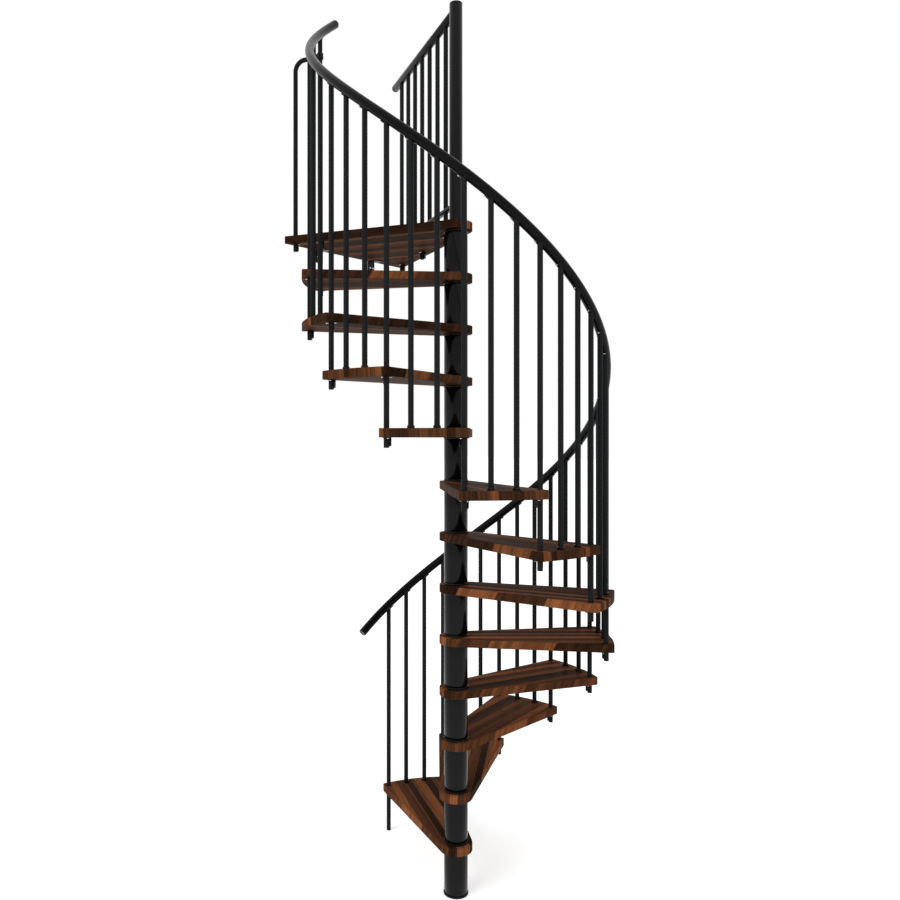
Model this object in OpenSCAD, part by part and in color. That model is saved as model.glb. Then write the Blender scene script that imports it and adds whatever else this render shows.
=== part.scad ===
// Spiral staircase: wooden treads stacked on a round column with spacer tubes,
// a black helical handrail on round balusters and a wedge-shaped landing on top.
// Millimetres. Z is up, the origin is the middle of the base on the floor,
// and +Y points out of the landing, at the upper floor.

/* [Stair] */
// Number of treads below the landing
tread_count = 12; // [6:1:12]
// Height from one tread to the next
riser = 235; // [200:1:250]
// Turn from one tread to the next, in degrees
tread_turn = 26.2; // [24:0.1:29]
// Radius of the circle that the balusters stand on
rail_radius = 665; // [560:1:760]

/* [Column] */
// Outer diameter of the centre pole
pole_d = 60; // [48:1:62]
// Wall of the centre pole
pole_wall = 4; // [3:0.5:6]
// Height of the centre pole above the landing
pole_rise = 1000; // [1000:1:1100]
// Outer diameter of the spacer tubes
spacer_d = 108; // [98:1:116]
// Wall of the spacer tubes
spacer_wall = 3; // [2:0.5:5]
// Height of the rings at the ends of the spacer tubes
ring_h = 8; // [5:1:14]
// Reach of the rings beyond the spacer tubes
ring_lip = 2; // [2:0.5:6]
// Thickness of the base flange
base_h = 10; // [8:1:16]
// Circle of the anchor holes in the base flange
anchor_pcd = 78; // [76:1:80]
// Diameter of the anchor holes
anchor_d = 9; // [6:0.5:10]

/* [Treads] */
// Thickness of the treads and of the landing
tread_t = 36; // [30:1:50]
// Radius of the round end of the treads at the column
hub_r = 75; // [68:1:85]
// Reach of the treads beyond the circle of the balusters
tread_overhang = 35; // [30:1:50]
// Distance from the side of a tread to the middle of a baluster
edge_margin = 21; // [19:1:28]
// Rounding of the outer corners of the treads
corner_r = 15; // [8:1:20]

/* [Landing] */
// Half of the angle between the sides of the landing, in degrees
landing_half_angle = 23.75; // [20:0.25:32]
// Rounding of the outer corners of the landing
landing_corner_r = 3; // [3:0.5:15]
// Distance from the last baluster to the outer edge of the landing
landing_margin = 159; // [140:1:215]

/* [Balusters] */
// Diameter of the balusters
baluster_d = 22; // [16:1:24]
// Number of short balusters on each tread
short_balusters = 2; // [1:1:3]
// Length of the connecting balusters below the treads
stub = 40; // [36:1:60]
// Diameter of the collars at the feet of the short balusters
collar_d = 29; // [27:1:34]
// Height of the collars
collar_h = 10; // [6:1:25]

/* [Handrail] */
// Diameter of the handrails
rail_d = 40; // [36:1:46]
// Height of the middle of the handrail above the treads
rail_height = 958; // [880:1:1000]
// Turn of the handrail before the first baluster, in degrees
rail_lead_turn = 14; // [10:0.5:16]
// Turn of the handrail past the last baluster, in degrees
rail_tail_turn = 13.2; // [12:0.1:18]
// Length of the end caps of the handrails
cap_h = 6; // [4:0.5:10]
// Length of the saddle under the handrail at each baluster
saddle_l = 30; // [24:1:36]
// Width of the saddles
saddle_w = 14; // [10:1:15]
// Thickness of the saddles
saddle_t = 3.5; // [2:0.5:5]

/* [Landing rail] */
// Angle from the middle of the landing to its handrail, in degrees
landing_rail_turn = 26.7; // [24:0.1:27]
// Height of the middle of the landing handrail above the landing
landing_rail_height = 972; // [900:1:977]
// Reach of the landing handrail past its last baluster
landing_rail_tail = 114; // [80:1:180]
// Number of balusters under the landing handrail
landing_balusters = 7; // [5:2:7]
// Distance from the column to the first of them
landing_first = 123; // [112:1:130]
// Distance from the outer edge of the landing to the last of them
landing_last_inset = 63; // [56:1:90]
// Length of the balusters of the landing below it
landing_stub = 36; // [34:1:60]
// Height of the bottom rail above the landing
bottom_rail_lift = 80; // [60:1:110]
// Width of the bottom rail
bottom_rail_w = 28; // [26:1:36]
// Thickness of the bottom rail
bottom_rail_t = 15; // [8:1:20]

/* [End baluster] */
// Distance from the outer edge of the landing to the end baluster
end_edge_inset = 28; // [28:1:36]
// Distance from the side of the landing to the end baluster
end_side_inset = 32; // [28:1:45]
// Distance of its level part below the middle of the handrail
end_drop = 106; // [80:1:250]
// Radius of its bend
end_bend_r = 48; // [40:1:60]

/* [Fixings] */
// Length of the seat plates around the balusters under the treads
seat_l = 48; // [40:1:52]
// Width of the seat plates
seat_w = 24; // [20:1:26]
// Thickness of the seat plates
seat_t = 3; // [2:0.5:5]
// Thickness of the tab beside the baluster
tab_t = 6; // [3:0.5:6]
// Width of the tab
tab_w = 18; // [12:1:22]
// Height of the tab
tab_h = 34; // [20:1:34]
// Turn of the seat plates towards the middle of the treads, in degrees
seat_turn = 45; // [30:1:60]
// Distance of the left floor bracket from the middle of the landing
bracket_left = 192; // [150:1:230]
// Distance of the right floor bracket from the middle of the landing
bracket_right = 168; // [150:1:230]
// Width of the floor brackets
bracket_w = 47; // [40:1:70]
// Depth of the floor brackets under the landing
bracket_depth = 60; // [45:1:80]
// Height of the floor brackets below the landing
bracket_drop = 62; // [50:1:80]
// Thickness of the floor brackets
bracket_t = 5; // [4:0.5:8]
// Distance between the two bolt holes of a floor bracket
bracket_pitch = 20; // [16:1:28]
// Distance of the bolt holes below the landing
bracket_hole_drop = 33; // [24:1:40]
// Diameter of the bolt holes
bracket_hole_d = 9; // [6:0.5:10]

/* [Hidden] */
$fn = 96;
gap = 0.2;
hole_gap = 0.25;
sweep_sides = 16;
sweep_step = 3.5;

pole_r = pole_d / 2;
baluster_r = baluster_d / 2;
rail_r = rail_d / 2;
base_d = spacer_d + 2 * ring_lip + 2;
tip_r = rail_radius + tread_overhang;
steps = short_balusters + 1;
step_turn = tread_turn / steps;
step_rise = riser / steps;
last_step = tread_count * steps;
hole_lead = asin((hub_r - edge_margin) / rail_radius);
side_turn = tread_turn / 2 - hole_lead;
entry_angle = 90 + landing_half_angle + hole_lead;
landing_z = (tread_count + 1) * riser;
last_post = rail_radius * [cos(entry_angle), sin(entry_angle)];
landing_reach = last_post[1] + landing_margin;
pitch = atan2(step_rise, rail_radius * step_turn * PI / 180);
seat_shift = (rail_r + gap) * tan(pitch);
rail_first = -rail_lead_turn / step_turn;
rail_last = last_step + rail_tail_turn / step_turn;
rail_cut_1 = rail_first + (rail_last - rail_first) / 3;
rail_cut_2 = rail_first + (rail_last - rail_first) * 2 / 3;
landing_rail_angle = 90 - landing_rail_turn;
landing_rail_z = landing_z + landing_rail_height;
landing_last = (landing_reach - landing_last_inset) / sin(landing_rail_angle);
landing_gap = (landing_last - landing_first) / (landing_balusters - 1);
landing_rail_reach = landing_last + landing_rail_tail;
bottom_rail_end = landing_last + baluster_d;
anchored_every = (landing_balusters - 1) / 2;
pole_top = landing_z + pole_rise;

// Sides of the landing run at this angle to its middle line, tangent to its round end.
landing_dir = [cos(landing_half_angle), sin(landing_half_angle)];
landing_normal = [-sin(landing_half_angle), cos(landing_half_angle)];
end_along = (landing_reach - end_edge_inset + (hub_r - end_side_inset) * sin(landing_half_angle))
  / cos(landing_half_angle);
end_local = (hub_r - end_side_inset) * landing_normal + end_along * landing_dir;
end_post = [-end_local[1], end_local[0]];
end_run = norm(last_post - end_post);
end_height = rail_height - end_drop;
end_turn = atan2(last_post[1] - end_post[1], last_post[0] - end_post[0]);
clamp_d = baluster_d + 10;
clamp_h = baluster_d + 6;
socket_l = 24;

function two(i) = i < 10 ? str("0", i) : str(i);
function tread_z(i) = i * riser;
function tread_angle(i) = entry_angle + (tread_count - i) * tread_turn + tread_turn / 2;
function baluster_angle(k) = entry_angle + (last_step - k) * step_turn;
function rail_z(k) = riser + rail_height + k * step_rise;
function turned(a) = [cos(a), sin(a)];
// Points of an arc in n steps.
function arc(mid, r, low, high, n) = [
  for (j = [0 : n]) mid + r * turned(low + (high - low) * j / n)
];
// The same without its ends, for an arc between two others.
function inner_arc(mid, r, low, high, n) = [
  for (j = [1 : n - 1]) mid + r * turned(low + (high - low) * j / n)
];

tread_names = [for (i = [1 : tread_count]) str("tread_", two(i))];
bay_names = [for (i = [1 : tread_count]) str("balusters_", two(i))];

// Column

module base_flange() {
  color([0.07, 0.07, 0.075])
    difference() {
      cylinder(d = base_d, h = base_h);
      for (a = [45 : 90 : 315])
        rotate([0, 0, a])
          translate([anchor_pcd / 2, 0, -1])
            cylinder(d = anchor_d, h = base_h + 2);
    }
}

module centre_pole() {
  color([0.07, 0.07, 0.075])
    translate([0, 0, base_h])
      difference() {
        cylinder(d = pole_d, h = pole_top - base_h);
        translate([0, 0, -1])
          cylinder(d = pole_d - 2 * pole_wall, h = pole_top - base_h + 2);
      }
}

module pole_cap() {
  plug_r = pole_r - pole_wall - gap;
  color([0.05, 0.05, 0.05])
    translate([0, 0, pole_top])
      rotate_extrude()
        polygon([[0, -20], [plug_r, -20], [plug_r, 0], [pole_r, 0],
                 [pole_r, 3], [pole_r - 3, 6], [0, 6]]);
}

module spacer_tube(z_low, z_high) {
  translate([0, 0, z_low])
    difference() {
      cylinder(d = spacer_d, h = z_high - z_low);
      translate([0, 0, -1])
        cylinder(d = spacer_d - 2 * spacer_wall, h = z_high - z_low + 2);
    }
}

module spacer_tubes() {
  color([0.07, 0.07, 0.075]) {
    spacer_tube(base_h, riser - tread_t - ring_h);
    for (i = [1 : tread_count])
      spacer_tube(tread_z(i) + ring_h, tread_z(i + 1) - tread_t - ring_h);
  }
}

// Ring that centres a spacer tube on the pole, wide face down on z = 0.
module centring_ring() {
  wide_r = spacer_d / 2 + ring_lip;
  bore_r = pole_r + hole_gap;
  rotate_extrude()
    polygon([[bore_r, 0], [wide_r, 0], [wide_r, ring_h * 0.4],
             [spacer_d / 2 + 1, ring_h], [bore_r, ring_h]]);
}

module centring_rings() {
  color([0.05, 0.05, 0.05])
    for (i = [1 : tread_count + 1]) {
      translate([0, 0, tread_z(i)])
        centring_ring();
      translate([0, 0, tread_z(i) - tread_t])
        mirror([0, 0, 1])
          centring_ring();
    }
}

// Treads and landing

// Plan of a tread along +X: a round end at the column, straight sides tangent to it,
// an outer edge on a circle around the column and rounded outer corners.
module tread_plan() {
  along = sqrt(pow(tip_r - corner_r, 2) - pow(hub_r - corner_r, 2));
  mid = (hub_r - corner_r) * [-sin(side_turn), cos(side_turn)]
    + along * [cos(side_turn), sin(side_turn)];
  tip_turn = atan2(mid[1], mid[0]);
  polygon(concat(
    arc(mid, corner_r, tip_turn, 90 + side_turn, 10),
    arc([0, 0], hub_r, 90 + side_turn, 270 - side_turn, 48),
    arc([mid[0], -mid[1]], corner_r, 270 - side_turn, 360 - tip_turn, 10),
    inner_arc([0, 0], tip_r, -tip_turn, tip_turn, 32)
  ));
}

// Plan of the landing along +X, with a straight outer edge.
module landing_plan() {
  along = (landing_reach - landing_corner_r + (hub_r - landing_corner_r) * sin(landing_half_angle))
    / cos(landing_half_angle);
  mid = (hub_r - landing_corner_r) * landing_normal + along * landing_dir;
  polygon(concat(
    arc(mid, landing_corner_r, 0, 90 + landing_half_angle, 8),
    arc([0, 0], hub_r, 90 + landing_half_angle, 270 - landing_half_angle, 48),
    arc([mid[0], -mid[1]], landing_corner_r, 270 - landing_half_angle, 360, 8)
  ));
}

module drill(d) {
  translate([0, 0, -tread_t - 1])
    cylinder(d = d + 2 * hole_gap, h = tread_t + 2);
}

module tread(i) {
  color([0.27, 0.16, 0.11])
    translate([0, 0, tread_z(i)])
      rotate([0, 0, tread_angle(i)])
        difference() {
          translate([0, 0, -tread_t])
            linear_extrude(tread_t)
              tread_plan();
          drill(pole_d);
          for (s = [-1, 1])
            rotate([0, 0, s * tread_turn / 2])
              translate([rail_radius, 0, 0])
                drill(baluster_d);
        }
}

module landing() {
  color([0.27, 0.16, 0.11])
    translate([0, 0, landing_z])
      difference() {
        rotate([0, 0, 90])
          translate([0, 0, -tread_t])
            linear_extrude(tread_t)
              landing_plan();
        drill(pole_d);
        translate(last_post)
          drill(baluster_d);
        translate(end_post)
          drill(baluster_d);
        rotate([0, 0, landing_rail_angle])
          for (j = [0 : anchored_every : landing_balusters - 1])
            translate([landing_first + j * landing_gap, 0, 0])
              drill(baluster_d);
      }
}

// Balusters

// Baluster number k from z_foot up to the underside of the handrail.
module baluster(k, z_foot) {
  rotate([0, 0, baluster_angle(k)])
    translate([rail_radius, 0, 0])
      difference() {
        translate([0, 0, z_foot])
          cylinder(d = baluster_d, h = rail_z(k) - z_foot);
        translate([0, 0, rail_z(k)])
          rotate([-pitch, 0, 0])
            translate([-rail_d, -2 * rail_d, -rail_r - gap])
              cube([2 * rail_d, 4 * rail_d, 2 * rail_d]);
      }
}

module first_baluster() {
  color([0.07, 0.07, 0.075])
    baluster(0, 0);
}

// The short balusters of tread i and the one that joins it to the tread above.
module bay(i) {
  color([0.07, 0.07, 0.075]) {
    for (j = [1 : short_balusters])
      baluster((i - 1) * steps + j, tread_z(i));
    baluster(i * steps, tread_z(i) - tread_t - stub);
  }
}

// Round foot with a sloped upper rim.
module collar() {
  wide_r = collar_d / 2;
  bore_r = baluster_r + gap;
  rotate_extrude()
    polygon([[bore_r, 0], [wide_r, 0], [wide_r, collar_h * 0.6],
             [baluster_r + 1.5, collar_h], [bore_r, collar_h]]);
}

module baluster_collars() {
  color([0.05, 0.05, 0.05])
    for (i = [1 : tread_count], j = [1 : short_balusters])
      rotate([0, 0, baluster_angle((i - 1) * steps + j)])
        translate([rail_radius, 0, tread_z(i)])
          collar();
}

// Seat plate around a baluster, hanging from z = 0: a strip with round ends along X
// and a tab on its +Y side.
module baluster_seat() {
  tab_near = baluster_r + 2 * hole_gap;
  end_shift = (seat_l - seat_w) / 2;
  difference() {
    translate([0, 0, -seat_t])
      union() {
        translate([-end_shift, -seat_w / 2, 0])
          cube([2 * end_shift, seat_w, seat_t]);
        for (s = [-1, 1])
          translate([s * end_shift, 0, 0])
            cylinder(d = seat_w, h = seat_t);
        translate([-tab_w / 2, 0, 0])
          cube([tab_w, tab_near + tab_t, seat_t]);
      }
    translate([0, 0, -seat_t - 1])
      cylinder(d = baluster_d + 2 * hole_gap, h = seat_t + 2);
  }
  translate([-tab_w / 2, tab_near, -tab_h])
    cube([tab_w, tab_t, tab_h - seat_t / 2]);
}

module baluster_seats() {
  color([0.09, 0.09, 0.095]) {
    for (i = [1 : tread_count], s = [-1, 1])
      rotate([0, 0, tread_angle(i) + s * tread_turn / 2])
        translate([rail_radius, 0, tread_z(i) - tread_t])
          rotate([0, 0, s > 0 ? 180 - seat_turn : seat_turn])
            baluster_seat();
    rotate([0, 0, entry_angle])
      translate([rail_radius, 0, landing_z - tread_t])
        rotate([0, 0, 180 - seat_turn])
          baluster_seat();
  }
}

// Plate under the handrail beside each baluster, on its uphill side.
module handrail_saddles() {
  color([0.09, 0.09, 0.095])
    for (k = [0 : last_step])
      rotate([0, 0, baluster_angle(k)])
        translate([rail_radius, 0, rail_z(k)])
          difference() {
            rotate([-pitch, 0, 0])
              translate([-saddle_w / 2, seat_shift - saddle_l, -rail_r - gap - saddle_t])
                cube([saddle_w, saddle_l, saddle_t]);
            translate([0, 0, -2 * rail_d])
              cylinder(d = baluster_d + 2 * gap, h = 2 * rail_d);
          }
}

// Handrail

// Tube along the helix of the handrail from baluster position k_low to k_high.
module rail_sweep(k_low, k_high) {
  rings = ceil((k_high - k_low) * step_turn / sweep_step);
  points = [
    for (r = [0 : rings])
      let (k = k_low + (k_high - k_low) * r / rings, a = baluster_angle(k))
        for (j = [0 : sweep_sides - 1])
          let (f = 360 * j / sweep_sides - 90, u = rail_r * cos(f), v = rail_r * sin(f))
            [(rail_radius + u) * cos(a) - v * sin(pitch) * sin(a),
             (rail_radius + u) * sin(a) + v * sin(pitch) * cos(a),
             rail_z(k) + v * cos(pitch)]
  ];
  walls = [
    for (r = [0 : rings - 1], j = [0 : sweep_sides - 1])
      let (n = (j + 1) % sweep_sides, p = r * sweep_sides, q = p + sweep_sides)
        each [[p + j, p + n, q + n], [p + j, q + n, q + j]]
  ];
  low_end = [for (j = [0 : sweep_sides - 1]) sweep_sides - 1 - j];
  high_end = [for (j = [0 : sweep_sides - 1]) rings * sweep_sides + j];
  polyhedron(points, concat(walls, [low_end, high_end]));
}

module handrail_lower() {
  color([0.08, 0.08, 0.085])
    rail_sweep(rail_first, rail_cut_1);
}

module handrail_middle() {
  color([0.08, 0.08, 0.085])
    rail_sweep(rail_cut_1, rail_cut_2);
}

module handrail_upper() {
  color([0.08, 0.08, 0.085])
    rail_sweep(rail_cut_2, rail_last);
}

// End cap of a handrail along +Z.
module rail_cap() {
  cylinder(d = rail_d, h = cap_h / 2);
  translate([0, 0, cap_h / 2])
    cylinder(d1 = rail_d, d2 = rail_d - cap_h, h = cap_h / 2);
}

module handrail_caps() {
  color([0.05, 0.05, 0.05]) {
    for (end = [[rail_first, -90], [rail_last, 90]])
      rotate([0, 0, baluster_angle(end[0])])
        translate([rail_radius, 0, rail_z(end[0])])
          rotate([end[1] - pitch, 0, 0])
            rail_cap();
    rotate([0, 0, landing_rail_angle])
      translate([landing_rail_reach - cap_h, 0, landing_rail_z])
        rotate([0, 90, 0])
          rail_cap();
  }
}

// Landing rail

module landing_handrail() {
  color([0.08, 0.08, 0.085])
    rotate([0, 0, landing_rail_angle])
      difference() {
        translate([0, 0, landing_rail_z])
          rotate([0, 90, 0])
            cylinder(d = rail_d, h = landing_rail_reach - cap_h);
        translate([0, 0, landing_rail_z - rail_d])
          cylinder(r = pole_r + gap, h = 2 * rail_d);
      }
}

module landing_balusters() {
  bar_top = landing_z + bottom_rail_lift + bottom_rail_t;
  color([0.07, 0.07, 0.075])
    rotate([0, 0, landing_rail_angle])
      for (j = [0 : landing_balusters - 1]) {
        foot = j % anchored_every == 0 ? landing_z - tread_t - landing_stub : bar_top;
        translate([landing_first + j * landing_gap, 0, 0])
          difference() {
            translate([0, 0, foot])
              cylinder(d = baluster_d, h = landing_rail_z - foot);
            translate([-baluster_d, 0, landing_rail_z])
              rotate([0, 90, 0])
                cylinder(r = rail_r + gap, h = 2 * baluster_d);
          }
      }
}

module landing_bottom_rail() {
  color([0.07, 0.07, 0.075])
    rotate([0, 0, landing_rail_angle])
      translate([0, 0, landing_z + bottom_rail_lift])
        difference() {
          translate([0, -bottom_rail_w / 2, 0])
            cube([bottom_rail_end, bottom_rail_w, bottom_rail_t]);
          translate([0, 0, -1])
            cylinder(r = pole_r + gap, h = bottom_rail_t + 2);
          for (j = [0 : anchored_every : landing_balusters - 1])
            translate([landing_first + j * landing_gap, 0, -1])
              cylinder(d = baluster_d + 2 * hole_gap, h = bottom_rail_t + 2);
        }
}

// Seats of the balusters that go through the landing, along its sides.
module landing_seats() {
  color([0.09, 0.09, 0.095])
    translate([0, 0, landing_z - tread_t]) {
      rotate([0, 0, landing_rail_angle])
        for (j = [0 : anchored_every : landing_balusters - 1])
          translate([landing_first + j * landing_gap, 0, 0])
            rotate([0, 0, 180 - seat_turn])
              baluster_seat();
      translate(end_post)
        rotate([0, 0, 270 + landing_half_angle])
          baluster_seat();
    }
}

// End baluster

module end_baluster() {
  foot = landing_z - tread_t - landing_stub;
  bend_z = landing_z + end_height - end_bend_r;
  color([0.07, 0.07, 0.075])
    translate(end_post)
      rotate([0, 0, end_turn]) {
        translate([0, 0, foot])
          cylinder(d = baluster_d, h = bend_z - foot);
        translate([end_bend_r, 0, bend_z])
          rotate([90, 0, 0])
            rotate([0, 0, 90])
              rotate_extrude(angle = 90)
                translate([end_bend_r, 0])
                  circle(d = baluster_d);
        translate([end_bend_r, 0, landing_z + end_height])
          rotate([0, 90, 0])
            cylinder(d = baluster_d, h = end_run - end_bend_r - clamp_d / 2 - gap);
      }
}

// Clamp on the last baluster, with a socket around the level part of the end baluster.
module end_clamp() {
  color([0.05, 0.05, 0.05])
    translate([last_post[0], last_post[1], landing_z + end_height])
      rotate([0, 0, end_turn + 180])
        difference() {
          union() {
            translate([0, 0, -clamp_h / 2])
              cylinder(d = clamp_d, h = clamp_h);
            rotate([0, 90, 0])
              cylinder(d = baluster_d + 6, h = clamp_d / 2 + socket_l);
          }
          translate([0, 0, -clamp_h])
            cylinder(d = baluster_d + 2 * hole_gap, h = 2 * clamp_h);
          translate([clamp_d / 2, 0, 0])
            rotate([0, 90, 0])
              cylinder(d = baluster_d + 2 * hole_gap, h = socket_l + 1);
        }
}

// Floor brackets

// Angle bracket under the outer edge of the landing, bolted through its flange.
module floor_bracket(x) {
  top = landing_z - tread_t;
  color([0.07, 0.07, 0.075])
    translate([x, landing_reach, top])
      difference() {
        union() {
          translate([-bracket_w / 2, -bracket_depth, -bracket_t])
            cube([bracket_w, bracket_depth, bracket_t]);
          translate([-bracket_w / 2, -bracket_t, -bracket_drop])
            cube([bracket_w, bracket_t, bracket_drop]);
        }
        for (s = [-1, 1])
          translate([s * bracket_pitch / 2, 1, -bracket_hole_drop])
            rotate([90, 0, 0])
              cylinder(d = bracket_hole_d, h = bracket_t + 2);
      }
}

module floor_bracket_left() {
  floor_bracket(-bracket_left);
}

module floor_bracket_right() {
  floor_bracket(bracket_right);
}

base_flange();
centre_pole();
pole_cap();
spacer_tubes();
centring_rings();
for (i = [1 : tread_count]) {
  tread(i);
  bay(i);
}
landing();
first_baluster();
baluster_collars();
baluster_seats();
handrail_saddles();
handrail_lower();
handrail_middle();
handrail_upper();
handrail_caps();
landing_handrail();
landing_balusters();
landing_bottom_rail();
landing_seats();
end_baluster();
end_clamp();
floor_bracket_left();
floor_bracket_right();
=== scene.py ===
"""Looks of a spiral staircase with walnut treads and black steel.

Every size is in metres and every angle in radians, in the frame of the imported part: Z is up, the
origin is the middle of the base on the floor and +Y points out of the landing.
"""

import logging
import math
from collections.abc import Callable, Iterable, Mapping, Sequence
from dataclasses import dataclass, field
from enum import Enum

import bmesh
import bpy
from mathutils import Matrix, Vector


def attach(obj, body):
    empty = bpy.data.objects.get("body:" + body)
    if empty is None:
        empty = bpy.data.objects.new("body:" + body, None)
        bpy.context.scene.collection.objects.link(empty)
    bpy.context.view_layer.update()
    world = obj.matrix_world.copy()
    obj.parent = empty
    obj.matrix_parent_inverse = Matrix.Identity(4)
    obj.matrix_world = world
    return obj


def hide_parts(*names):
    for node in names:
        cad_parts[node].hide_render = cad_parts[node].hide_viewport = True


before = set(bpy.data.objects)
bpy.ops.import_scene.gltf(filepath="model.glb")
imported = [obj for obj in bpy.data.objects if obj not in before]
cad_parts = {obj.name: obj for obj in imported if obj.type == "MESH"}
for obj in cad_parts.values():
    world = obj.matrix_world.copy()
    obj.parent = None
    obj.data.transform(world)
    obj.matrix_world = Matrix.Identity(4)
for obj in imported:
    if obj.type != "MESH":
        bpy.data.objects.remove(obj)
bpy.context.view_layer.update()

LOG = logging.getLogger("stair")
QUARTER = math.pi / 2
SMOOTH_UNDER = math.radians(35)

Piece = bpy.types.Object
Node = bpy.types.Node
Socket = bpy.types.NodeSocket
Edge = bmesh.types.BMEdge
Face = bmesh.types.BMFace
EdgeTest = Callable[[Edge], bool]
FaceTest = Callable[[Face], bool]
Rounding = tuple[EdgeTest, float, int]
Colour = tuple[float, float, float]

# Size and steps of roundings that several pieces have
FINE = (0.0006, 2)
SLIGHT = (0.0008, 2)
BAR_END = (0.0018, 3)


class Slot(Enum):
    """Material slots of the part's record."""

    WOOD = "wood"
    COAT = "black_coat"
    PLASTIC = "black_plastic"


# Geometry shared by the sub-assemblies


def lift(height: float) -> Matrix:
    """Gives a move straight up."""
    return Matrix.Translation((0.0, 0.0, height))


def spin(angle: float, axis: str = "Z") -> Matrix:
    """Gives a turn about an axis through the origin."""
    return Matrix.Rotation(angle, 4, axis)


@dataclass(frozen=True)
class StairPlan:
    """Sizes that more than one sub-assembly is laid out from.

    Round pieces are given by their radius. The joint depth is the share of a tube's radius, from
    its axis, at which a bar that joins the tube ends.
    """

    treads: int = 12
    riser: float = 0.235
    turn: float = math.radians(26.2)
    rail_radius: float = 0.665
    overhang: float = 0.035
    board: float = 0.036
    hub: float = 0.075
    edge_margin: float = 0.021
    pole: float = 0.030
    pole_top: float = 4.055
    rod: float = 0.011
    stub: float = 0.040
    landing_stub: float = 0.036
    rods_per_tread: int = 3
    rail: float = 0.020
    rail_height: float = 0.958
    rail_cap: float = 0.006
    landing_half: float = math.radians(23.75)
    landing_margin: float = 0.159
    landing_rail_turn: float = math.radians(26.7)
    end_edge_inset: float = 0.028
    end_side_inset: float = 0.032
    seat_turn: float = math.radians(45)
    joint_depth: float = 0.6
    play: float = 0.00025

    @property
    def tip(self) -> float:
        """Radius of the outer edge of the treads."""
        return self.rail_radius + self.overhang

    @property
    def hole_lead(self) -> float:
        """Angle from the side of a tread to the baluster beside it."""
        return math.asin((self.hub - self.edge_margin) / self.rail_radius)

    @property
    def entry(self) -> float:
        """Angle of the last baluster, which stands in the landing."""
        return QUARTER + self.landing_half + self.hole_lead

    @property
    def landing_top(self) -> float:
        """Height of the walking face of the landing."""
        return self.level(self.treads + 1)

    @property
    def last_rod(self) -> int:
        """Number of the last baluster under the helical handrail."""
        return self.treads * self.rods_per_tread

    @property
    def rod_turn(self) -> float:
        """Turn from one baluster to the next."""
        return self.turn / self.rods_per_tread

    @property
    def rod_rise(self) -> float:
        """Rise from one baluster to the next."""
        return self.riser / self.rods_per_tread

    @property
    def pitch(self) -> float:
        """Slope of the helical handrail."""
        return math.atan2(self.rod_rise, self.rail_radius * self.rod_turn)

    @property
    def landing_reach(self) -> float:
        """Distance from the column to the outer edge of the landing."""
        return self.rail_radius * math.sin(self.entry) + self.landing_margin

    @property
    def landing_rail_angle(self) -> float:
        """Direction of the landing handrail from the column."""
        return QUARTER - self.landing_rail_turn

    @property
    def end_post(self) -> Vector:
        """Place of the end baluster in the landing."""
        away = self.hub - self.end_side_inset
        sine, cosine = math.sin(self.landing_half), math.cos(self.landing_half)
        along = (self.landing_reach - self.end_edge_inset + away * sine) / cosine
        return Vector((-(away * cosine + along * sine), -away * sine + along * cosine, 0.0))

    def numbers(self) -> range:
        """Gives the numbers of the treads, from the floor up."""
        return range(1, self.treads + 1)

    def level(self, number: int) -> float:
        """Height of the walking face of a tread."""
        return number * self.riser

    def tread_angle(self, number: int) -> float:
        """Direction of the middle line of a tread."""
        return self.entry + (self.treads - number + 0.5) * self.turn

    def rod_angle(self, number: float) -> float:
        """Direction of a baluster from the column."""
        return self.entry + (self.last_rod - number) * self.rod_turn

    def rail_z(self, number: float) -> float:
        """Height of the middle of the handrail at a baluster."""
        return self.riser + self.rail_height + number * self.rod_rise

    def at(self, angle: float, radius: float, height: float) -> Matrix:
        """Gives the place of a piece on a circle around the column.

        Args:
            angle: Direction from the column.
            radius: Distance from the column.
            height: Height above the floor.

        Returns:
            A matrix whose X axis points away from the column and whose Z axis is up.
        """
        return spin(angle) @ Matrix.Translation((radius, 0.0, height))

    def at_rod(self, number: float, height: float) -> Matrix:
        """Gives a place on the axis of a baluster under the helical handrail."""
        return self.at(self.rod_angle(number), self.rail_radius, height)


# Modelling moves


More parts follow.
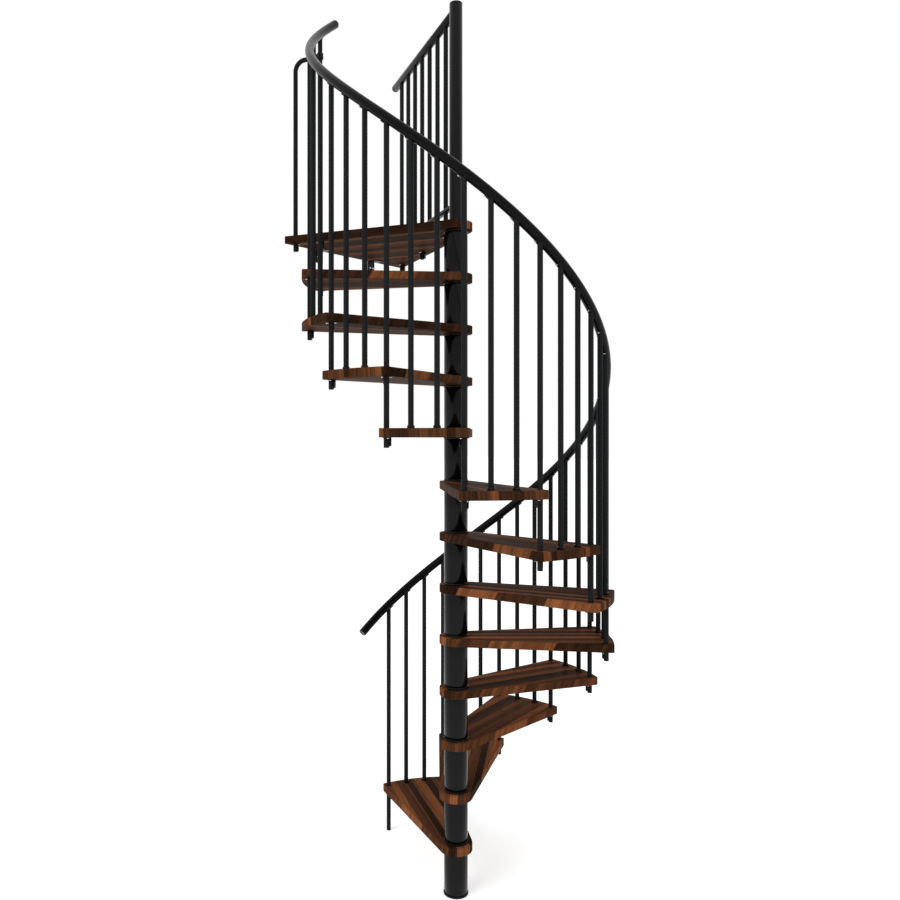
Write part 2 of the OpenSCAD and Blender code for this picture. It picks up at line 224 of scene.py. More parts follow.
class Bench:
    """The workbench: the modelling moves that the pieces are made with."""

    @staticmethod
    def clear() -> None:
        """Leaves edit mode and deselects everything."""
        active = bpy.context.view_layer.objects.active
        if active is not None and active.mode != "OBJECT":
            bpy.ops.object.mode_set(mode="OBJECT")
        bpy.ops.object.select_all(action="DESELECT")

    @staticmethod
    def take(piece: Piece) -> None:
        """Makes a piece the only selected one and the active one."""
        Bench.clear()
        piece.select_set(True)
        bpy.context.view_layer.objects.active = piece

    @staticmethod
    def edit(piece: Piece) -> None:
        """Enters edit mode with all of a piece selected."""
        Bench.take(piece)
        bpy.ops.object.mode_set(mode="EDIT")
        bpy.ops.mesh.select_all(action="SELECT")

    @staticmethod
    def leave() -> None:
        """Leaves edit mode."""
        bpy.ops.object.mode_set(mode="OBJECT")

    @staticmethod
    def pick(piece: Piece, wanted: EdgeTest | FaceTest, kind: str = "EDGE") -> None:
        """Enters edit mode with only the wanted edges or faces selected.

        Args:
            piece: The piece to edit.
            wanted: Tells whether an edge or a face is wanted.
            kind: EDGE or FACE.
        """
        Bench.edit(piece)
        bpy.ops.mesh.select_mode(type=kind)
        bpy.ops.mesh.select_all(action="DESELECT")
        mesh = bmesh.from_edit_mesh(piece.data)
        for item in mesh.edges if kind == "EDGE" else mesh.faces:
            if wanted(item):
                item.select_set(True)
        bmesh.update_edit_mesh(piece.data)

    @staticmethod
    def label(piece: Piece, name: str) -> Piece:
        """Names a piece and its mesh, and gives it back."""
        piece.name = name
        piece.data.name = name
        return piece

    @staticmethod
    def settle(name: str) -> Piece:
        """Names the piece just added, puts its place into its mesh and gives it back."""
        bpy.ops.object.transform_apply(location=True, rotation=True, scale=True)
        return Bench.label(bpy.context.view_layer.objects.active, name)

    @staticmethod
    def cylinder(
        name: str,
        radius: float,
        low: float,
        high: float,
        sides: int = 64,
        middle: tuple[float, float] = (0.0, 0.0),
    ) -> Piece:
        """Adds an upright round blank.

        Args:
            name: Name of the piece.
            radius: Radius of the blank.
            low: Height of its lower face.
            high: Height of its upper face.
            sides: Number of its sides.
            middle: Place of its axis.

        Returns:
            The blank.
        """
        Bench.clear()
        bpy.ops.mesh.primitive_cylinder_add(
            vertices=sides, radius=radius, depth=high - low, location=(*middle, (low + high) / 2)
        )
        return Bench.settle(name)

    @staticmethod
    def block(name: str, low: Sequence[float], high: Sequence[float]) -> Piece:
        """Adds a square blank between two corners.

        Args:
            name: Name of the piece.
            low: Lowest corner.
            high: Highest corner.

        Returns:
            The blank.
        """
        first, second = Vector(low), Vector(high)
        Bench.clear()
        bpy.ops.mesh.primitive_cube_add(
            size=1.0, location=(first + second) / 2, scale=second - first
        )
        return Bench.settle(name)

    @staticmethod
    def round_edges(piece: Piece, wanted: EdgeTest, size: float, steps: int) -> None:
        """Rounds the wanted edges of a piece.

        Args:
            piece: The piece to shape.
            wanted: Tells whether an edge is rounded.
            size: Distance from the edge at which the rounding starts.
            steps: Number of steps in the rounding.
        """
        Bench.pick(piece, wanted)
        bpy.ops.mesh.bevel(
            offset=size,
            offset_type="OFFSET",
            segments=steps,
            profile=0.5,
            affect="EDGES",
            clamp_overlap=False,
        )
        Bench.leave()

    @staticmethod
    def soften(piece: Piece, *roundings: Rounding) -> Piece:
        """Rounds edges in turn, then shades the piece smooth apart from sharp edges.

        Args:
            piece: The piece to finish.
            *roundings: Which edges are rounded, how far and in how many steps.

        Returns:
            The piece.
        """
        for rounding in roundings:
            Bench.round_edges(piece, *rounding)
        Bench.take(piece)
        bpy.ops.object.shade_smooth_by_angle(angle=SMOOTH_UNDER)
        return piece

    @staticmethod
    def saw(piece: Piece, point: Vector, outward: Vector) -> None:
        """Saws off what lies past a plane.

        Args:
            piece: The piece to cut.
            point: A point of the plane.
            outward: Direction of the side that falls off.
        """
        Bench.edit(piece)
        bpy.ops.mesh.bisect(plane_co=point, plane_no=outward, use_fill=True, clear_outer=True)
        Bench.leave()

    @staticmethod
    def apply(piece: Piece, kind: str, **settings: object) -> None:
        """Puts a modifier on a piece and applies it.

        Args:
            piece: The piece to shape.
            kind: Blender's name for the modifier.
            **settings: Settings of the modifier.
        """
        Bench.take(piece)
        modifier = piece.modifiers.new(kind.lower(), kind)
        for key, value in settings.items():
            setattr(modifier, key, value)
        bpy.ops.object.modifier_apply(modifier=modifier.name)

    @staticmethod
    def drill(
        piece: Piece, holes: Iterable[tuple[float, float, float]], low: float, high: float
    ) -> None:
        """Drills upright holes through a piece.

        Args:
            piece: The piece to drill.
            holes: X, Y and radius of each hole.
            low: Height at which the drill ends.
            high: Height at which it starts.
        """
        for x, y, radius in holes:
            bit = Bench.cylinder("drill_bit", radius, low, high, 48, (x, y))
            Bench.apply(piece, "BOOLEAN", operation="DIFFERENCE", object=bit, solver="EXACT")
            Bench.scrap(bit)

    @staticmethod
    def copy(piece: Piece, name: str, place: Matrix) -> Piece:
        """Copies a finished piece with its own mesh.

        Args:
            piece: The piece to copy.
            name: Name of the copy.
            place: Where the copy goes.

        Returns:
            The copy.
        """
        twin = piece.copy()
        twin.data = piece.data.copy()
        twin.data.transform(place)
        bpy.context.scene.collection.objects.link(twin)
        return Bench.label(twin, name)

    @staticmethod
    def join(name: str, pieces: Sequence[Piece]) -> Piece:
        """Joins pieces into one object.

        Args:
            name: Name of the object.
            pieces: The pieces to join.

        Returns:
            The joined object.
        """
        Bench.clear()
        for piece in pieces:
            piece.select_set(True)
        bpy.context.view_layer.objects.active = pieces[0]
        if len(pieces) > 1:
            bpy.ops.object.join()
        return Bench.label(bpy.context.view_layer.objects.active, name)

    @staticmethod
    def spread(name: str, pattern: Piece, places: Sequence[Matrix]) -> Piece:
        """Sets a copy of a pattern at each place and joins the copies.

        Args:
            name: Name of the joined copies.
            pattern: The piece to copy.
            places: Where the copies go.

        Returns:
            The joined copies.
        """
        return Bench.join(name, [Bench.copy(pattern, name, place) for place in places])

    @staticmethod
    def outward(piece: Piece) -> None:
        """Merges doubles and turns all faces outwards."""
        Bench.edit(piece)
        bpy.ops.mesh.remove_doubles(threshold=0.00001)
        bpy.ops.mesh.normals_make_consistent(inside=False)
        Bench.leave()

    @staticmethod
    def scrap(*pieces: Piece) -> None:
        """Removes patterns that were only copied from."""
        for piece in pieces:
            bpy.data.objects.remove(piece)


class Edges:
    """Tests that find edges by their place and direction."""

    LEVEL = 0.95
    UPRIGHT = 0.2

    @staticmethod
    def rim(edge: Edge) -> bool:
        """Finds the edge between a level face and an upright one."""
        if len(edge.link_faces) != 2:
            return False
        rises = sorted(abs(face.normal.z) for face in edge.link_faces)
        return rises[0] < Edges.UPRIGHT and rises[1] > Edges.LEVEL

    @staticmethod
    def top_rim(edge: Edge) -> bool:
        """Finds the rim of an upper face."""
        return Edges.rim(edge) and max(face.normal.z for face in edge.link_faces) > Edges.LEVEL

    @staticmethod
    def bottom_rim(edge: Edge) -> bool:
        """Finds the rim of a lower face."""
        return Edges.rim(edge) and min(face.normal.z for face in edge.link_faces) < -Edges.LEVEL

    @staticmethod
    def upright_corner(edge: Edge) -> bool:
        """Finds an upright edge at which the sides turn sharply."""
        low, high = (vert.co for vert in edge.verts)
        if (low.xy - high.xy).length > 0.0002 or len(edge.link_faces) != 2:
            return False
        return edge.calc_face_angle() > math.radians(30)

    @staticmethod
    def sharp(edge: Edge) -> bool:
        """Finds every edge at which the faces turn sharply."""
        return len(edge.link_faces) == 2 and edge.calc_face_angle() > math.radians(50)

    @staticmethod
    def open_end(edge: Edge) -> bool:
        """Finds an edge with only one face."""
        return len(edge.link_faces) == 1


# Finishes


@dataclass
class Wiring:
    """A node tree with short calls that add and join its nodes."""

    tree: bpy.types.NodeTree

    @classmethod
    def fresh(cls, owner: bpy.types.Material | bpy.types.World) -> "Wiring":
        """Gives the emptied node tree of a material or of the surroundings."""
        owner.use_nodes = True
        owner.node_tree.nodes.clear()
        return cls(owner.node_tree)

    def add(
        self, kind: str, inputs: Mapping[str, object] | None = None, **settings: object
    ) -> Node:
        """Adds a node.

        Args:
            kind: Blender's name for the node.
            inputs: Sockets or values that go into it, by name.
            **settings: Settings of the node.

        Returns:
            The node.
        """
        node = self.tree.nodes.new(kind)
        for key, value in settings.items():
            setattr(node, key, value)
        self.fit(node, inputs or {})
        return node

    def fit(self, node: Node, inputs: Mapping[str, object]) -> None:
        """Feeds several inputs of a node, by name."""
        for name, value in inputs.items():
            self.feed(node.inputs[name], value)

    def feed(self, target: Socket, value: object) -> None:
        """Links a socket to an input, or sets the input to a value."""
        if isinstance(value, Socket):
            self.tree.links.new(value, target)
        else:
            target.default_value = value

    def calc(self, operation: str, *values: object) -> Socket:
        """Adds a math node.

        Args:
            operation: Blender's name for the operation.
            *values: Sockets or numbers that go into it.

        Returns:
            Its output.
        """
        node = self.add("ShaderNodeMath", operation=operation)
        for target, value in zip(node.inputs, values):
            self.feed(target, value)
        return node.outputs[0]

    def plus(self, first: object, second: object) -> Socket:
        """Adds two numbers."""
        return self.calc("ADD", first, second)

    def minus(self, first: object, second: object) -> Socket:
        """Takes the second number from the first."""
        return self.calc("SUBTRACT", first, second)

    def times(self, first: object, second: object) -> Socket:
        """Multiplies two numbers."""
        return self.calc("MULTIPLY", first, second)

    def vector(self, x: object, y: object, z: object) -> Socket:
        """Joins three numbers to a vector."""
        return self.add("ShaderNodeCombineXYZ", {"X": x, "Y": y, "Z": z}).outputs[0]

    def noise(self, at: object, scale: float, detail: float, rough: float = 0.5) -> Socket:
        """Adds a noise pattern.

        Args:
            at: Vector socket that the pattern is read at.
            scale: Fineness of the pattern.
            detail: Number of finer layers.
            rough: Strength of the finer layers.

        Returns:
            The pattern as a number around one half.
        """
        inputs = {"Vector": at, "Scale": scale, "Detail": detail, "Roughness": rough}
        return self.add("ShaderNodeTexNoise", inputs).outputs[0]

    def ramp(self, value: object, low: float, high: float) -> Socket:
        """Maps a range of a number to 0 to 1, smoothly."""
        inputs = {"Value": value, "From Min": low, "From Max": high}
        return self.add("ShaderNodeMapRange", inputs, interpolation_type="SMOOTHSTEP").outputs[0]

    def shades(self, value: object, stops: Sequence[tuple[float, Colour]]) -> Socket:
        """Turns a number into a colour.

        Args:
            value: The number, from 0 to 1.
            stops: Numbers and their colours.

        Returns:
            The colour.
        """
        node = self.add("ShaderNodeValToRGB", {"Fac": value})
        elements = node.color_ramp.elements
        while len(elements) < len(stops):
            elements.new(0.5)
        for element, (place, colour) in zip(elements, stops):
            element.position = place
            element.color = (*colour, 1.0)
        return node.outputs[0]

    def tint(self, colour: object, factor: object) -> Socket:
        """Multiplies a colour by a number."""
        inputs = {"Vector": colour, "Scale": factor}
        return self.add("ShaderNodeVectorMath", inputs, operation="SCALE").outputs[0]


def paint(red: int, green: int, blue: int) -> Colour:
    """Gives the linear colour of a display colour.

    Args:
        red: Red, from 0 to 255.
        green: Green, from 0 to 255.
        blue: Blue, from 0 to 255.

    Returns:
        The linear colour.
    """
    scaled = [value / 255 for value in (red, green, blue)]
    linear = [v / 12.92 if v <= 0.04045 else ((v + 0.055) / 1.055) ** 2.4 for v in scaled]
    return (linear[0], linear[1], linear[2])


class Grain:
    """Node groups that more than one finish uses."""

    STRIPS = "walnut_strips"
    MARKS = "coat_marks"
    NUMBER = "NodeSocketFloat"
    COLOUR = "NodeSocketColor"
    VECTOR = "NodeSocketVector"
    SURFACE = {"Color": COLOUR, "Roughness": NUMBER, "Height": NUMBER}

    @classmethod
    def start(
        cls, name: str, inputs: Mapping[str, str]
    ) -> tuple[Wiring, bpy.types.NodeOutputs, Node]:
        """Starts a node group that gives a surface.

        Args:
            name: Name of the group.
            inputs: Names and kinds of its inputs.

        Returns:
            Its wiring, the sockets of its inputs and its output node.
        """
        tree = bpy.data.node_groups.new(name, "ShaderNodeTree")
        for direction, sockets in (("INPUT", inputs), ("OUTPUT", cls.SURFACE)):
            for label, kind in sockets.items():
                tree.interface.new_socket(name=label, in_out=direction, socket_type=kind)
        wire = Wiring(tree)
        return wire, wire.add("NodeGroupInput").outputs, wire.add("NodeGroupOutput")

    @classmethod
    def strips(cls) -> bpy.types.NodeTree:
        """Builds the pattern of walnut strips glued side by side.

        The strips run along X of the given vector and lean a little, so that cut sides show them
        as slanted bands.

        Returns:
            The node group.
        """
        if cls.STRIPS in bpy.data.node_groups:
            return bpy.data.node_groups[cls.STRIPS]
        wire, given, sink = cls.start(
            cls.STRIPS, {"Vector": cls.VECTOR, "Seed": cls.NUMBER, "Strip Width": cls.NUMBER}
        )
        seed, width = given["Seed"], given["Strip Width"]
        along, across, up = wire.add("ShaderNodeSeparateXYZ", {"Vector": given["Vector"]}).outputs
        side = wire.plus(across, wire.times(up, 0.07))
        place = wire.plus(wire.calc("DIVIDE", side, width), seed)
        cells = {"W": place, "Scale": 1.0, "Randomness": 1.0}
        cell, seam = (
            wire.add("ShaderNodeTexVoronoi", voronoi_dimensions="1D", feature=feature)
            for feature in ("F1", "DISTANCE_TO_EDGE")
        )
        wire.fit(cell, cells)
        wire.fit(seam, cells)
        dice = wire.add("ShaderNodeSeparateColor", {"Color": cell.outputs["Color"]})
        tone, shift, figure = dice.outputs

        def layer(
            run: float, start: object, fine: float, depth: object, detail: float, rough: float = 0.5
        ) -> Socket:
            """Adds noise that is drawn out along the strips.

            Args:
                run: Fineness along the strips.
                start: Shift along the strips.
                fine: Fineness across the strips.
                depth: Third coordinate of the noise.
                detail: Number of finer layers.
                rough: Strength of the finer layers.

            Returns:
                The noise.
            """
            drawn_out = wire.plus(wire.times(along, run), start)
            return wire.noise(
                wire.vector(drawn_out, wire.times(side, fine), depth), 1.0, detail, rough
            )

        streak = layer(2.4, wire.times(shift, 40.0), 170.0, wire.times(seed, 3.0), 4.0, 0.68)
        sweep = layer(1.7, wire.times(figure, 25.0), 24.0, wire.times(tone, 9.0), 2.0)
        bands = layer(1.3, wire.times(figure, 70.0), 95.0, seed, 2.0)
        lines = layer(4.0, 0.0, 420.0, seed, 4.0, 0.8)
        pores = wire.ramp(layer(55.0, 0.0, 1400.0, wire.times(up, 60.0), 1.0), 0.60, 0.72)
        rings = wire.calc("SINE", wire.plus(wire.times(side, 520.0), wire.times(sweep, 34.0)))
        glue = wire.ramp(wire.times(seam.outputs["Distance"], width), 0.0007, 0.0002)

        value = wire.plus(wire.times(wire.calc("POWER", tone, 1.3), 0.72), 0.13)
        for noise, weight in ((bands, 0.3), (streak, 0.45), (lines, 0.75), (sweep, 0.3)):
            value = wire.plus(value, wire.times(wire.minus(noise, 0.5), weight))
        colour = wire.shades(
            wire.plus(value, wire.times(rings, 0.06)),
            (
                (0.0, paint(34, 21, 14)),
                (0.22, paint(52, 33, 22)),
                (0.42, paint(74, 46, 29)),
                (0.66, paint(108, 65, 40)),
                (1.0, paint(156, 96, 58)),
            ),
        )
        shade = wire.times(
            wire.minus(1.0, wire.times(pores, 0.22)), wire.minus(1.0, wire.times(glue, 0.35))
        )
        rough = wire.plus(wire.times(streak, 0.14), wire.times(pores, 0.12))
        height = wire.minus(wire.times(streak, 0.5), wire.times(pores, 0.6))
        wire.fit(
            sink,
            {
                "Color": wire.tint(colour, shade),
                "Roughness": wire.plus(rough, 0.42),
                "Height": wire.minus(height, glue),
            },
        )
        return wire.tree

    @classmethod
    def marks(cls) -> bpy.types.NodeTree:
        """Builds the fine unevenness of a coated or moulded face.

        Returns:
            The node group.
        """
        if cls.MARKS in bpy.data.node_groups:
            return bpy.data.node_groups[cls.MARKS]
        wire, given, sink = cls.start(
            cls.MARKS,
            {
                "Vector": cls.VECTOR,
                "Color": cls.COLOUR,
                "Roughness": cls.NUMBER,
                "Unevenness": cls.NUMBER,
            },
        )
        at, uneven = given["Vector"], given["Unevenness"]
        cloud = wire.minus(wire.noise(at, 7.0, 3.0), 0.5)
        peel = wire.noise(at, 620.0, 2.0)
        specks = wire.ramp(wire.noise(at, 330.0, 1.0), 0.70, 0.76)
        tone = wire.plus(1.0, wire.times(cloud, uneven))
        tone = wire.plus(tone, wire.times(specks, wire.times(uneven, 0.8)))
        rough = wire.plus(given["Roughness"], wire.times(cloud, 0.16))
        wire.fit(
            sink,
            {
                "Color": wire.tint(given["Color"], tone),
                "Roughness": wire.plus(rough, wire.times(wire.minus(peel, 0.5), 0.08)),
                "Height": wire.plus(peel, wire.times(specks, 0.5)),
            },
        )
        return wire.tree


@dataclass(frozen=True)
class Finish:
    """A finish of the part: what it is called and the slot it belongs to."""

    name: str
    slot: Slot | None

    def material(self) -> bpy.types.Material:
        """Gives the finish's material, which is built the first time."""
        if self.name in bpy.data.materials:
            return bpy.data.materials[self.name]
        material = bpy.data.materials.new(self.name)
        wire = Wiring.fresh(material)
        shader = wire.add("ShaderNodeBsdfPrincipled")
        wire.add("ShaderNodeOutputMaterial", {"Surface": shader.outputs[0]})
        self.wire_up(wire, shader)
        return material

    def wire_up(self, wire: Wiring, shader: Node) -> None:
        """Sets the shader and wires the finish's pattern to it."""
        raise NotImplementedError

    @staticmethod
    def dress(wire: Wiring, shader: Node, pattern: Node, relief: float, strength: float) -> None:
        """Wires a pattern's colour, roughness and height to a shader.

        Args:
            wire: Wiring of the material.
            shader: The shader.
            pattern: Group node with the pattern.
            relief: Depth of the pattern's relief.
            strength: How strongly the relief shows.
        """
        look = pattern.outputs
        inputs = {"Strength": strength, "Distance": relief, "Height": look["Height"]}
        bump = wire.add("ShaderNodeBump", inputs)
        wire.fit(
            shader,
            {
                "Base Color": look["Color"],
                "Roughness": look["Roughness"],
                "Normal": bump.outputs["Normal"],
            },
        )


@dataclass(frozen=True)
class Walnut(Finish):
    """Lacquered walnut strips along one board."""

    angle: float = 0.0
    level: float = 0.0
    seed: float = 0.0
    strip: float = 0.036
    specular: float = 0.005
    relief: float = 0.0003

    def wire_up(self, wire: Wiring, shader: Node) -> None:
        """Turns the strips along the board and sets a satin lacquer."""
        mapping = wire.add(
            "ShaderNodeMapping",
            {
                "Vector": wire.add("ShaderNodeTexCoord").outputs["Object"],
                "Rotation": (0.0, 0.0, -self.angle),
                "Location": (0.0, 0.0, -self.level),
            },
        )
        pattern = wire.add(
            "ShaderNodeGroup",
            {"Vector": mapping.outputs[0], "Seed": self.seed, "Strip Width": self.strip},
            node_tree=Grain.strips(),
        )
        wire.fit(shader, {"Specular IOR Level": self.specular})
        self.dress(wire, shader, pattern, self.relief, 0.3)


@dataclass(frozen=True)
class Coat(Finish):
    """Powder coat, moulded plastic or plated steel."""

    colour: Colour = (0.005, 0.005, 0.005)
    roughness: float = 0.35
    specular: float = 0.2
    metallic: float = 0.0
    unevenness: float = 0.2
    relief: float = 0.000006

    def wire_up(self, wire: Wiring, shader: Node) -> None:
        """Sets the gloss and wires the fine marks to it."""
        pattern = wire.add(
            "ShaderNodeGroup",
            {
                "Vector": wire.add("ShaderNodeTexCoord").outputs["Object"],
                "Color": (*self.colour, 1.0),
                "Roughness": self.roughness,
                "Unevenness": self.unevenness,
            },
            node_tree=Grain.marks(),
        )
        wire.fit(shader, {"Specular IOR Level": self.specular, "Metallic": self.metallic})
        self.dress(wire, shader, pattern, self.relief, 0.25)


STEEL_COAT = Coat("black_powder_coat", Slot.COAT, paint(6, 6, 7), 0.17, 0.16)
ROD_COAT = Coat("black_baluster_coat", Slot.COAT, paint(33, 34, 35), 0.35, 0.015)
RAIL_COAT = Coat("black_handrail", Slot.COAT, paint(5, 5, 5), 0.23, 0.10)
PLASTIC = Coat("black_moulding", Slot.PLASTIC, paint(6, 6, 6), 0.25, 0.2)
ZINC = Coat("bright_zinc", None, paint(225, 227, 230), 0.25, 0.5, 1.0, 0.12)


def hand_over(piece: Piece, finish: Finish, *nodes: str) -> None:
    """Dresses a finished piece, fixes it to the part and reports it.

    Args:
        piece: The piece.
        finish: Its finish.
        *nodes: Nodes of the part that it stands for.
    """
    piece.data.materials.clear()
    piece.data.materials.append(finish.material())
    if nodes:
        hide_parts(*nodes)
    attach(piece, "root")
    LOG.info("%s: %d faces, %s", piece.name, len(piece.data.polygons), finish.name)


# Sub-assemblies


@dataclass
class Column:
    """Base flange, centre pole with its cap, spacer tubes and the rings at their ends."""

    plan: StairPlan
    spacer: float = 0.054
    spacer_wall: float = 0.003
    ring: float = 0.056
    ring_height: float = 0.008
    base: float = 0.057
    base_height: float = 0.010
    cap_height: float = 0.006
    sides: int = 128
    pole_sides: int = 96

    def build(self) -> None:
        """Builds and dresses all pieces of the column."""
        self.build_pole()
        self.build_spacers()
        self.build_rings()

    def build_pole(self) -> None:
        """Turns the flange on the floor and makes the pole with the cap on its end."""
        radius, top = self.plan.pole, self.plan.pole_top
        base = Bench.cylinder("base_plate", self.base, 0.0, self.base_height, self.sides)
        Bench.soften(base, (Edges.top_rim, 0.003, 4), (Edges.bottom_rim, *SLIGHT))
        hand_over(base, STEEL_COAT, "base_flange")
        pole = Bench.cylinder("pole_tube", radius, self.base_height, top, self.pole_sides)
        hand_over(Bench.soften(pole, (Edges.rim, *SLIGHT)), STEEL_COAT, "centre_pole")
        cap = Bench.cylinder("pole_end_cap", radius, top, top + self.cap_height, self.pole_sides)
        Bench.soften(cap, (Edges.top_rim, 0.0035, 5), (Edges.bottom_rim, *FINE))
        hand_over(cap, PLASTIC, "pole_cap")

    def spacer_tube(self, length: float) -> Piece:
        """Cuts a spacer tube.

        Args:
            length: Length of the tube.

        Returns:
            The tube, standing on the floor.
        """
        tube = Bench.cylinder("spacer_pattern", self.spacer, 0.0, length, self.sides)
        Bench.pick(tube, lambda face: abs(face.normal.z) > Edges.LEVEL, "FACE")
        bpy.ops.mesh.delete(type="FACE")
        Bench.leave()
        Bench.apply(tube, "SOLIDIFY", thickness=self.spacer_wall, offset=-1.0)
        return Bench.soften(tube, (Edges.rim, *FINE))

    def build_spacers(self) -> None:
        """Stands the spacer tubes between the treads."""
        plan = self.plan
        top = plan.riser - plan.board - self.ring_height
        first = self.spacer_tube(top - self.base_height)
        first.data.transform(lift(self.base_height))
        pattern = self.spacer_tube(top - self.ring_height)
        places = [lift(plan.level(number) + self.ring_height) for number in plan.numbers()]
        others = Bench.spread("upper_spacers", pattern, places)
        Bench.scrap(pattern)
        hand_over(Bench.join("spacers", [first, others]), STEEL_COAT, "spacer_tubes")

    def build_rings(self) -> None:
        """Moulds the ring that ends a spacer tube and sets one above and one under each board."""
        plan = self.plan
        ring = Bench.cylinder("ring_pattern", self.ring, 0.0, self.ring_height, self.sides)
        Bench.soften(ring, (Edges.rim, 0.0012, 3))
        places = []
        for number in range(1, plan.treads + 2):
            top = plan.level(number)
            places += [lift(top), lift(top - plan.board) @ spin(math.pi, "X")]
        hand_over(Bench.spread("spacer_rings", ring, places), PLASTIC, "centring_rings")
        Bench.scrap(ring)


@dataclass
class Boards:
    """The twelve treads and the landing."""

    plan: StairPlan
    rounding: float = 0.0015
    rounding_steps: int = 4
    tread_corner: float = 0.015
    landing_corner: float = 0.003
    corner_steps: int = 8
    hub_cuts: int = 40
    tip_cuts: int = 360
    blank_back: float = 0.2
    blank_half: float = 0.6
    seed_step: float = 3.37
    landing_seed: float = 61.7

    def build(self) -> None:
        """Builds and dresses all boards."""
        self.build_treads()
        self.build_landing()

    def shape(
        self, board: Piece, half: float, corner: float, turn: float, posts: Iterable[Vector]
    ) -> None:
        """Saws a blank to its plan, rounds it and drills it.

        Args:
            board: A blank along +X with its upper face at height 0.
            half: Half of the angle between its straight sides.
            corner: Distance from its outer corners at which their rounding starts.
            turn: Direction that it is turned to before it is drilled.
            posts: Places of the balusters that go through it.
        """
        plan = self.plan
        for step in range(self.hub_cuts + 1):
            angle = QUARTER + half + (math.pi - 2 * half) * step / self.hub_cuts
            outward = Vector((math.cos(angle), math.sin(angle), 0.0))
            Bench.saw(board, outward * plan.hub, outward)
        Bench.round_edges(board, Edges.upright_corner, corner, self.corner_steps)
        Bench.round_edges(board, Edges.rim, self.rounding, self.rounding_steps)
        board.data.transform(spin(turn))
        holes = [(0.0, 0.0, plan.pole + plan.play)]
        holes += [(post.x, post.y, plan.rod + plan.play) for post in posts]
        Bench.drill(board, holes, -2 * plan.board, plan.board)
        Bench.soften(board)

    def build_treads(self) -> None:
        """Makes one tread and copies it up the column."""
        plan = self.plan
        half = plan.turn / 2 - plan.hole_lead
        corner_turn = QUARTER - math.asin(plan.hub / plan.tip)
        corner = self.tread_corner * math.tan(corner_turn / 2)
        sides = (-plan.turn / 2, plan.turn / 2)
        posts = [plan.at(side, plan.rail_radius, 0.0).translation for side in sides]
        tread = Bench.cylinder("tread_pattern", plan.tip, -plan.board, 0.0, self.tip_cuts)
        self.shape(tread, half, corner, 0.0, posts)
        for number in plan.numbers():
            angle, level = plan.tread_angle(number), plan.level(number)
            board = Bench.copy(tread, f"tread_board_{number:02d}", plan.at(angle, 0.0, level))
            seed = self.seed_step * number
            finish = Walnut(f"walnut_{number:02d}", Slot.WOOD, angle, level, seed)
            hand_over(board, finish, f"tread_{number:02d}")
        Bench.scrap(tread)

    def build_landing(self) -> None:
        """Makes the landing with its straight outer edge."""
        plan = self.plan
        half, top = plan.landing_half, plan.landing_top
        corner = self.landing_corner * math.tan((QUARTER + half) / 2)
        rail = LandingRail(plan)
        posts = [plan.at_rod(plan.last_rod, 0.0).translation, plan.end_post]
        posts += [rail.rod_place(number, 0.0).translation for number in rail.anchored()]
        landing = Bench.block(
            "landing_board",
            (-self.blank_back, -self.blank_half, -plan.board),
            (plan.landing_reach, self.blank_half, 0.0),
        )
        self.shape(landing, half, corner, QUARTER, posts)
        landing.data.transform(lift(top))
        finish = Walnut("walnut_landing", Slot.WOOD, QUARTER + half, top, self.landing_seed)
        hand_over(landing, finish, "landing")


@dataclass
class Rod:
    """A round bar that is modelled once and cut to each length."""

    plan: StairPlan
    sides: int = 40
    pattern: Piece = field(init=False)

    def __post_init__(self) -> None:
        """Models the bar, one metre long, with rounded ends."""
        self.pattern = Bench.cylinder("rod_pattern", self.plan.rod, 0.0, 1.0, self.sides)
        Bench.soften(self.pattern, (Edges.rim, *BAR_END))

    def cut(self, name: str, place: Matrix, foot: float, top: float) -> Piece:
        """Cuts a bar to its length.

        Args:
            name: Name of the bar.
            place: Place of its axis, at height 0.
            foot: Height of its lower end.
            top: Height of its upper end.

        Returns:
            The bar.
        """
        bar = Bench.copy(self.pattern, name, Matrix.Identity(4))
        for vert in bar.data.vertices:
            vert.co.z += foot if vert.co.z < 0.5 else top - 1.0
        bar.data.transform(place)
        return bar


